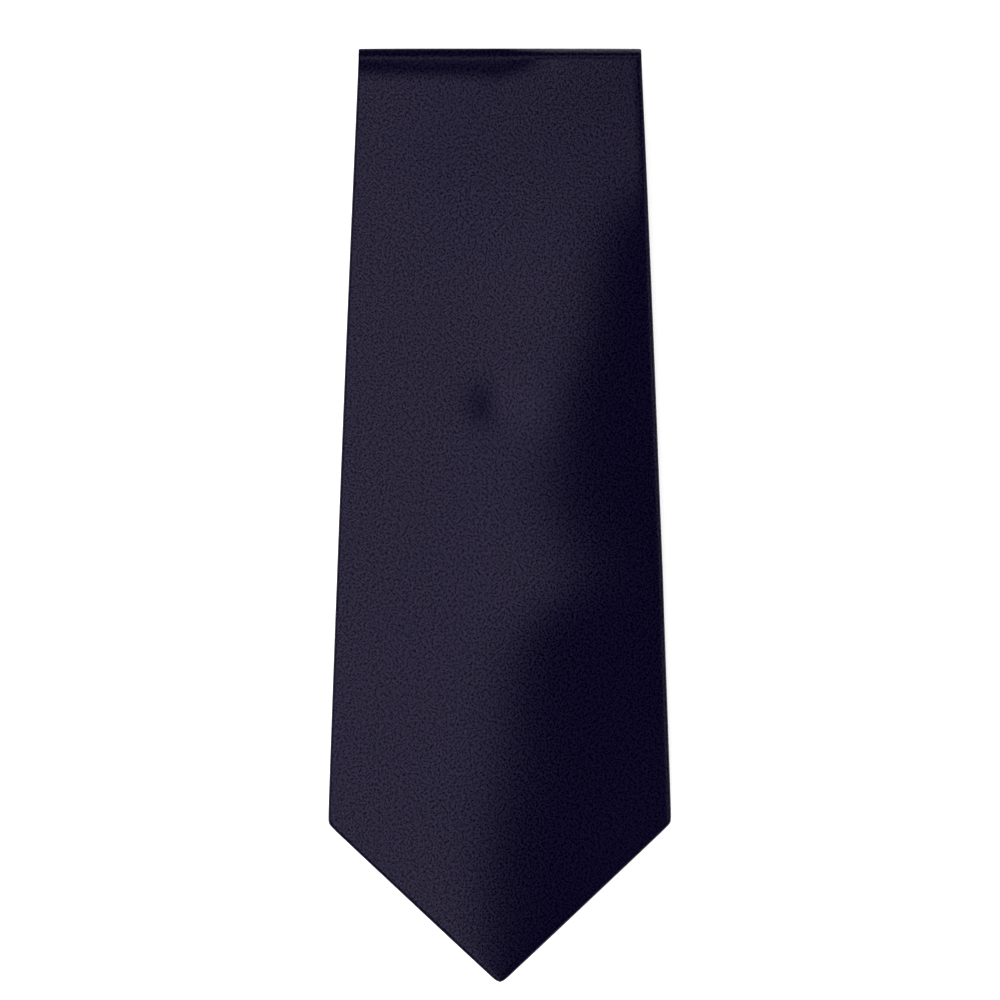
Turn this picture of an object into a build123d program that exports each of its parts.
"""A satin necktie folded flat: six leaves laid back and forth, with the wide blade on top.

The tie is measured along its length from the point of the wide blade. A leaf is a stretch of it
between two folds. Each leaf has its own plane on its satin front: X across, Y along the tie and
Z through it, from the front to the back, where the seam is. In the row frame the wide blade's
point is towards -Y with its satin up, and the origin is under the middle of the folded tie.
"""

from build123d import *

import os
from dataclasses import dataclass
from math import atan2, degrees, pi

# Outline of the opened tie
BLADE_WIDTH = 95.0
POINT_SLOPE = 1.07  # half width gained per millimetre from a point
BLADE_TAPER = 0.0805  # width lost per millimetre beyond the blade's shoulders
NECK_WIDTH = 36.0
TAIL_WIDTH = 48.0
TAIL_SEAM_AT = 1090.0  # where the neck panel is joined to the tail panel
CORNER_ROLL = 1.5  # of the points and shoulders, seen from the front

# Cross-section
THICKNESS = 2.6
CLOTH = 0.4  # satin with its turned-in allowance
EDGE_ROLL = 1.2
EDGE_FILL = 0.8  # from an edge to the pocket that holds the interlining
INTERLINING = 1.4
LINING = 0.3
EASE = 0.1  # between loose pieces inside the tie
SEAM_SLIT = 0.5
SLIT_OVERRUN = 2.0  # of the slit between the flaps into a lining window

# How it is folded
FOLDED_LENGTH = 260.0
LEAF_GAP = 0.7
LOOP_GAP = 1.8  # behind the wide blade, where the keeper loop lies
UPPER_FOLD_INSET = 1.5  # of the inner folds from the outer one, at the straight end
LOWER_FOLD_RISE = (30.5, 19.0)  # above the wide blade's point
TAIL_POINT_RISE = 6.0
CREASE_PULL = 0.45  # how much of a fold's cloth lies between two opened leaves

# Back of the wide blade, along the tie from its point
HEM = 10.0
SIDE_HEM = 14.0
BLADE_SEAM_FROM = 165.0
BLADE_LINING_TO = 185.0
LOOP_AT = 196.0
LOOP_BAND = 12.0
LOOP_HALF = 27.0
LOOP_FOOT = 5.0
LOOP_CLOTH = 0.5
LOOP_LIFT = 0.45
MAKER_LABEL = (46.0, 16.0, 0.3)
MAKER_LABEL_AT = (0.0, 222.0)
CARE_LABEL = (13.0, 18.0, 0.2)
CARE_LABEL_AT = (10.0, 180.0)

# Back of the tail, up from its point
TAIL_HEM = 6.0
TAIL_SIDE_HEM = 9.0
TAIL_SEAM_TO = 95.0
TAIL_LINING_TO = 110.0

# Sewing
THREAD = 0.3
SEAM_STITCH = 5.5
SEAM_PITCH = 9.0
SHORT_STITCH = 2.4
SHORT_PITCH = 5.0
BAR_TACK = (9.0, 1.8, 0.25)
BAR_TACK_SETBACK = 3.0  # from the open end of the seam

GAPS = (LOOP_GAP, LEAF_GAP, LEAF_GAP, LEAF_GAP, LEAF_GAP)
STACK_HEIGHT = 6 * THICKNESS + sum(GAPS)
POCKET = THICKNESS - 2 * CLOTH
END = FOLDED_LENGTH / 2
FOLD_Y = (
    END - THICKNESS - GAPS[0] / 2,
    LOWER_FOLD_RISE[0] + THICKNESS + GAPS[1] / 2 - END,
    END - UPPER_FOLD_INSET - THICKNESS - GAPS[2] / 2,
    LOWER_FOLD_RISE[1] + THICKNESS + GAPS[3] / 2 - END,
    END - UPPER_FOLD_INSET - THICKNESS - GAPS[4] / 2,
)
LEAF_ENDS = (-END, *FOLD_Y, TAIL_POINT_RISE - END)
FOLD_CLOTH = [pi * (gap + THICKNESS) / 2 for gap in GAPS]
TIE_LENGTH = sum(FOLD_CLOTH) + sum(abs(b - a) for a, b in zip(LEAF_ENDS, LEAF_ENDS[1:]))
BLADE_SHOULDER = BLADE_WIDTH / 2 / POINT_SLOPE
TAIL_SHOULDER = TIE_LENGTH - TAIL_WIDTH / 2 / POINT_SLOPE
NECK_SEAM_AT = BLADE_SHOULDER + (BLADE_WIDTH - NECK_WIDTH) / BLADE_TAPER

# Half the tie's width at each turn of its edges, by the distance along it
TURNS = (
    (0.0, 0.0),
    (BLADE_SHOULDER, BLADE_WIDTH / 2),
    (NECK_SEAM_AT, NECK_WIDTH / 2),
    (TAIL_SEAM_AT, NECK_WIDTH / 2),
    (TAIL_SHOULDER, TAIL_WIDTH / 2),
    (TIE_LENGTH, 0.0),
)
CORNERS = (0.0, BLADE_SHOULDER, TAIL_SHOULDER, TIE_LENGTH)


def half_width(along):
    """Half the tie's width at a distance along it."""
    for (a, wide_a), (b, wide_b) in zip(TURNS, TURNS[1:]):
        if along <= b:
            return wide_a + (wide_b - wide_a) * (along - a) / (b - a)
    return 0.0


def finish(piece, name):
    """Labels a piece and writes its STEP file."""
    piece.label = name
    export_step(piece, f"parts/{name}.step")
    size = piece.bounding_box().size
    print(f"{name}: {len(piece.solids())} solids, {size.X:.1f} x {size.Y:.1f} x {size.Z:.1f} mm")


@dataclass
class Leaf:
    """One flat layer of the folded tie."""

    name: str
    start: float  # distance along the tie
    length: float
    plane: Plane
    low: float  # height of its under side

    def outline(self, depth, inset=0.0, upto=None):
        """Its face at a depth from the satin, drawn in from the tie's edges but not at its folds."""
        beyond = 20.0  # past its folds, so that the inset draws in only the tie's own edges
        first = max(self.start - beyond, 0.0)
        last = min(self.start + self.length + beyond, TIE_LENGTH)
        stations = [first, *(at for at, _ in TURNS if first < at < last), last]
        right = [(half_width(at), at - self.start) for at in stations]
        left = [(-x, y) for x, y in reversed(right)]
        with BuildSketch(self.plane.offset(depth)) as face:
            with BuildLine():
                Polyline(*dict.fromkeys(right + left), close=True)
            make_face()
            if inset:
                offset(amount=-inset, kind=Kind.INTERSECTION)
            else:
                turns = [at - self.start for at in CORNERS]
                sharp = [v for v in face.vertices() if min(abs(v.Y - y) for y in turns) < 0.01]
                if sharp:
                    fillet(sharp, radius=CORNER_ROLL)
            low, high = 0.0, self.length
            if upto:
                low, high = sorted(upto)
            with Locations((0, (low + high) / 2)):
                Rectangle(2 * BLADE_WIDTH, high - low, mode=Mode.INTERSECT)
        return face.sketch

    def at(self, x, y, depth):
        """A point of its frame in the row frame."""
        return self.plane.from_local_coords((x, y, depth))


def lay_out_leaves():
    """The six leaves, from the wide blade on top to the tail at the bottom."""
    names = ("blade", "second_leaf", "third_leaf", "fourth_leaf", "fifth_leaf", "tail")
    along, low = 0.0, STACK_HEIGHT - THICKNESS
    for i, name in enumerate(names):
        satin_up = i % 2 == 0
        height = low + THICKNESS if satin_up else low
        normal = (0, 0, -1) if satin_up else (0, 0, 1)
        plane = Plane(origin=(0, LEAF_ENDS[i], height), x_dir=(-1, 0, 0), z_dir=normal)
        length = abs(LEAF_ENDS[i + 1] - LEAF_ENDS[i])
        yield Leaf(name, along, length, plane, low)
        if i < len(GAPS):
            along += length + FOLD_CLOTH[i]
            low -= THICKNESS + GAPS[i]


def lining_window(leaf, way, half, hem, side_hem, seam_y):
    """The kite between a point's hems and the seam, where the lining shows."""
    point_y = 0.0 if way > 0 else leaf.length
    tip = point_y + way * hem * (1 + POINT_SLOPE**2) ** 0.5 / POINT_SLOPE
    side = half - side_hem
    widest = tip + way * side / POINT_SLOPE
    with BuildSketch(leaf.plane.offset(THICKNESS - CLOTH)) as kite:
        with BuildLine():
            Polyline((0, tip), (side, widest), (0, seam_y), (-side, widest), close=True)
        make_face()
    return kite.sketch


def leaf_satin(leaf, seam, window=None):
    """A leaf's satin: its front, rolled edges and two flaps that meet along the back seam."""
    with BuildPart() as satin:
        extrude(leaf.outline(0), amount=THICKNESS)
        rims = satin.faces().filter_by(Axis.Z).edges().filter_by(Axis.X, reverse=True)
        fillet(rims, radius=EDGE_ROLL)
        extrude(leaf.outline(CLOTH, inset=EDGE_FILL), amount=POCKET, mode=Mode.SUBTRACT)
        with BuildSketch(leaf.plane.offset(THICKNESS - CLOTH)):
            with Locations((0, sum(seam) / 2)):
                Rectangle(SEAM_SLIT, seam[1] - seam[0] + 2 * SLIT_OVERRUN)
        extrude(amount=CLOTH, mode=Mode.SUBTRACT)
        if window:
            extrude(window, amount=CLOTH, mode=Mode.SUBTRACT)
    return satin.part


def leaf_padding(leaf):
    """A leaf's stretch of the wool interlining."""
    with BuildPart() as padding:
        extrude(leaf.outline(CLOTH + EASE, inset=EDGE_FILL + EASE), amount=INTERLINING)
    return padding.part


def seam_stitches(leaf, seam):
    """The slip stitches that close a leaf's back seam."""
    count = int((seam[1] - seam[0] - SEAM_STITCH) / SEAM_PITCH)
    with BuildPart() as stitches:
        with BuildSketch(leaf.plane.offset(THICKNESS - CLOTH)):
            with Locations((0, sum(seam) / 2)):
                with GridLocations(0, SEAM_PITCH, 1, count):
                    Rectangle(THREAD, SEAM_STITCH)
        extrude(amount=THREAD)
    return stitches.part


def stitches_along(plane, runs, pitch=SHORT_PITCH, stitch=SHORT_STITCH):
    """Short stitches laid along straight runs on a plane, each run as two points."""
    with BuildPart() as row:
        with BuildSketch(plane):
            for a, b in runs:
                way = Vector(*b) - Vector(*a)
                count = int(way.length / pitch)
                middle = (Vector(*a) + Vector(*b)) / 2
                turn = degrees(atan2(way.Y, way.X))
                with Locations(Location((middle.X, middle.Y), turn)):
                    with GridLocations(pitch, 0, count, 1):
                        Rectangle(stitch, THREAD)
        extrude(amount=THREAD)
    return row.part


def window_hems(window, leaf):
    """The runs of hem stitches just inside a lining window."""
    with BuildSketch() as inner:
        add(leaf.plane.to_local_coords(window))
        offset(amount=-1.5 * THREAD, kind=Kind.INTERSECTION)
    for edge in inner.edges():
        a, b = edge @ 0.05, edge @ 0.95
        yield (a.X, a.Y), (b.X, b.Y)


def patch(leaf, size, centre, depth=THICKNESS):
    """A flat rectangular piece laid on a leaf's back."""
    width, length, thick = size
    with BuildPart() as piece:
        with BuildSketch(leaf.plane.offset(depth)):
            with Locations(centre):
                Rectangle(width, length)
        extrude(amount=thick)
    return piece.part


def lining(leaf, upto):
    """The lining sewn inside one end of the tie."""
    with BuildPart() as sheet:
        extrude(leaf.outline(THICKNESS - CLOTH - LINING, EDGE_FILL + EASE, upto), amount=LINING)
    return sheet.part


def fold_plane(i, top_leaf):
    """A plane across fold i, on its centre line, with Y pointing up to the leaf above it."""
    return Plane(origin=(0, FOLD_Y[i], top_leaf.low - GAPS[i] / 2), x_dir=(1, 0, 0), z_dir=(0, -1, 0))


def fold_piece(i, top_leaf, half, depth, thick, hollow=False):
    """A layer of fold i: a strip at a depth from the satin, turned half round the fold's centre."""
    outward = i % 2 == 0  # the satin is outside at the straight end and inside at the pointed end
    inner = GAPS[i] / 2
    middle = inner + (THICKNESS - depth - thick / 2 if outward else depth + thick / 2)
    seam = inner + (CLOTH / 2 if outward else THICKNESS - CLOTH / 2)
    across = fold_plane(i, top_leaf)
    with BuildPart() as fold:
        with BuildSketch(across):
            with Locations((0, middle)):
                if hollow:
                    RectangleRounded(2 * half, thick, EDGE_ROLL)
                    Rectangle(2 * (half - EDGE_FILL), POCKET, mode=Mode.SUBTRACT)
                else:
                    Rectangle(2 * half, thick)
            if hollow:
                with Locations((0, seam)):
                    Rectangle(SEAM_SLIT, CLOTH, mode=Mode.SUBTRACT)
        about = (-1, 0, 0) if outward else (1, 0, 0)
        revolve(axis=Axis(across.origin, about), revolution_arc=180)
    return fold.part


# The satin, interlining and back seam of each leaf
os.makedirs("parts", exist_ok=True)
leaves = list(lay_out_leaves())
blade, second, third, fourth, fifth, tail = leaves
tail_seam = (0.0, tail.length - TAIL_SEAM_TO)
seams = [(0.0, leaf.length) for leaf in leaves]
seams[0] = (BLADE_SEAM_FROM, blade.length)
seams[-1] = tail_seam
blade_window = lining_window(blade, 1, BLADE_WIDTH / 2, HEM, SIDE_HEM, BLADE_SEAM_FROM)
tail_window = lining_window(tail, -1, TAIL_WIDTH / 2, TAIL_HEM, TAIL_SIDE_HEM, tail_seam[1])
windows = {"blade": blade_window, "tail": tail_window}
panel_seams = {"fourth_leaf": ("neck", NECK_SEAM_AT), "fifth_leaf": ("tail_panel", TAIL_SEAM_AT)}

for leaf, seam in zip(leaves, seams):
    satin = leaf_satin(leaf, seam, windows.get(leaf.name))
    finish(leaf_padding(leaf), f"{leaf.name}_interlining")
    finish(seam_stitches(leaf, seam), f"{leaf.name}_slip_stitches")
    if leaf.name not in panel_seams:
        finish(satin, f"{leaf.name}_satin")
        continue
    # Two panels meet in this leaf, in a seam on the bias
    panel, seam_at = panel_seams[leaf.name]
    y = seam_at - leaf.start
    bias = Plane(origin=leaf.at(0, y, 0), z_dir=leaf.plane.x_dir + leaf.plane.y_dir)
    for keep, name in ((Keep.BOTTOM, f"{leaf.name}_satin"), (Keep.TOP, f"{leaf.name}_{panel}_satin")):
        with BuildPart() as half_panel:
            add(satin)
            split(bisect_by=bias, keep=keep)
        finish(half_panel.part, name)
    reach = NECK_WIDTH / 2 - EDGE_FILL - 1.0
    inside = leaf.plane.offset(CLOTH + EASE + INTERLINING)
    run = ((-reach, y + reach), (reach, y - reach))
    finish(stitches_along(inside, [run]), f"{leaf.name}_{panel}_seam_stitches")

# The folds between the leaves
for i, leaf in enumerate(leaves[:-1]):
    half = half_width(leaf.start + leaf.length + FOLD_CLOTH[i] / 2)
    finish(fold_piece(i, leaf, half, 0, THICKNESS, hollow=True), f"fold_{i + 1}_satin")
    core = half - EDGE_FILL - EASE
    finish(fold_piece(i, leaf, core, CLOTH + EASE, INTERLINING), f"fold_{i + 1}_interlining")
    way = 1 if i % 2 == 0 else -1
    hinge_y = FOLD_Y[i] + way * CREASE_PULL * FOLD_CLOTH[i] / 2
    print(f"fold_{i + 1} opens about y {hinge_y:.3f}, z {leaf.low - GAPS[i] / 2:.3f}")

# Linings, hem stitches and bar tacks at the two ends
ends = (
    (blade, blade_window, (0.0, BLADE_LINING_TO), BLADE_SEAM_FROM + BAR_TACK_SETBACK),
    (tail, tail_window, (tail.length - TAIL_LINING_TO, tail.length), tail_seam[1] - BAR_TACK_SETBACK),
)
for leaf, window, span, tack_y in ends:
    finish(lining(leaf, span), f"{leaf.name}_lining")
    hems = stitches_along(leaf.plane.offset(THICKNESS - CLOTH), window_hems(window, leaf))
    finish(hems, f"{leaf.name}_hem_stitches")
    finish(patch(leaf, BAR_TACK, (0, tack_y)), f"{leaf.name}_bar_tack")

# Keeper loop: a band across the blade's back, open behind its middle and tacked down at its feet
across = Plane(origin=blade.at(0, LOOP_AT, THICKNESS), x_dir=blade.plane.x_dir, z_dir=-blade.plane.y_dir)
rise = LOOP_HALF - LOOP_FOOT
flat = rise - 2.0
under = [(-LOOP_HALF, 0), (-rise, 0), (-flat, LOOP_LIFT), (flat, LOOP_LIFT), (rise, 0), (LOOP_HALF, 0)]
over = [(x, z + LOOP_CLOTH) for x, z in reversed(under)]
with BuildPart() as keeper_loop:
    with BuildSketch(across):
        with BuildLine():
            Polyline(*under, *over, close=True)
        make_face()
    extrude(amount=LOOP_BAND / 2, both=True)
finish(keeper_loop.part, "keeper_loop")

foot = LOOP_HALF - LOOP_FOOT / 2
tack_runs = [((x, LOOP_AT - LOOP_BAND / 2), (x, LOOP_AT + LOOP_BAND / 2)) for x in (-foot, foot)]
loop_tacks = stitches_along(blade.plane.offset(THICKNESS + LOOP_CLOTH), tack_runs, 3.0, 2.0)
finish(loop_tacks, "keeper_loop_tacks")

# Blank labels on the blade's back
finish(patch(blade, MAKER_LABEL, MAKER_LABEL_AT), "woven_label")
finish(patch(blade, CARE_LABEL, CARE_LABEL_AT), "care_label")
edge = MAKER_LABEL[0] / 2 - 1.2
label_y = MAKER_LABEL_AT[1]
rows = [((x, label_y - MAKER_LABEL[1] / 2), (x, label_y + MAKER_LABEL[1] / 2)) for x in (-edge, edge)]
label_stitches = stitches_along(blade.plane.offset(THICKNESS + MAKER_LABEL[2]), rows, 4.0, 2.0)
finish(label_stitches, "woven_label_stitches")
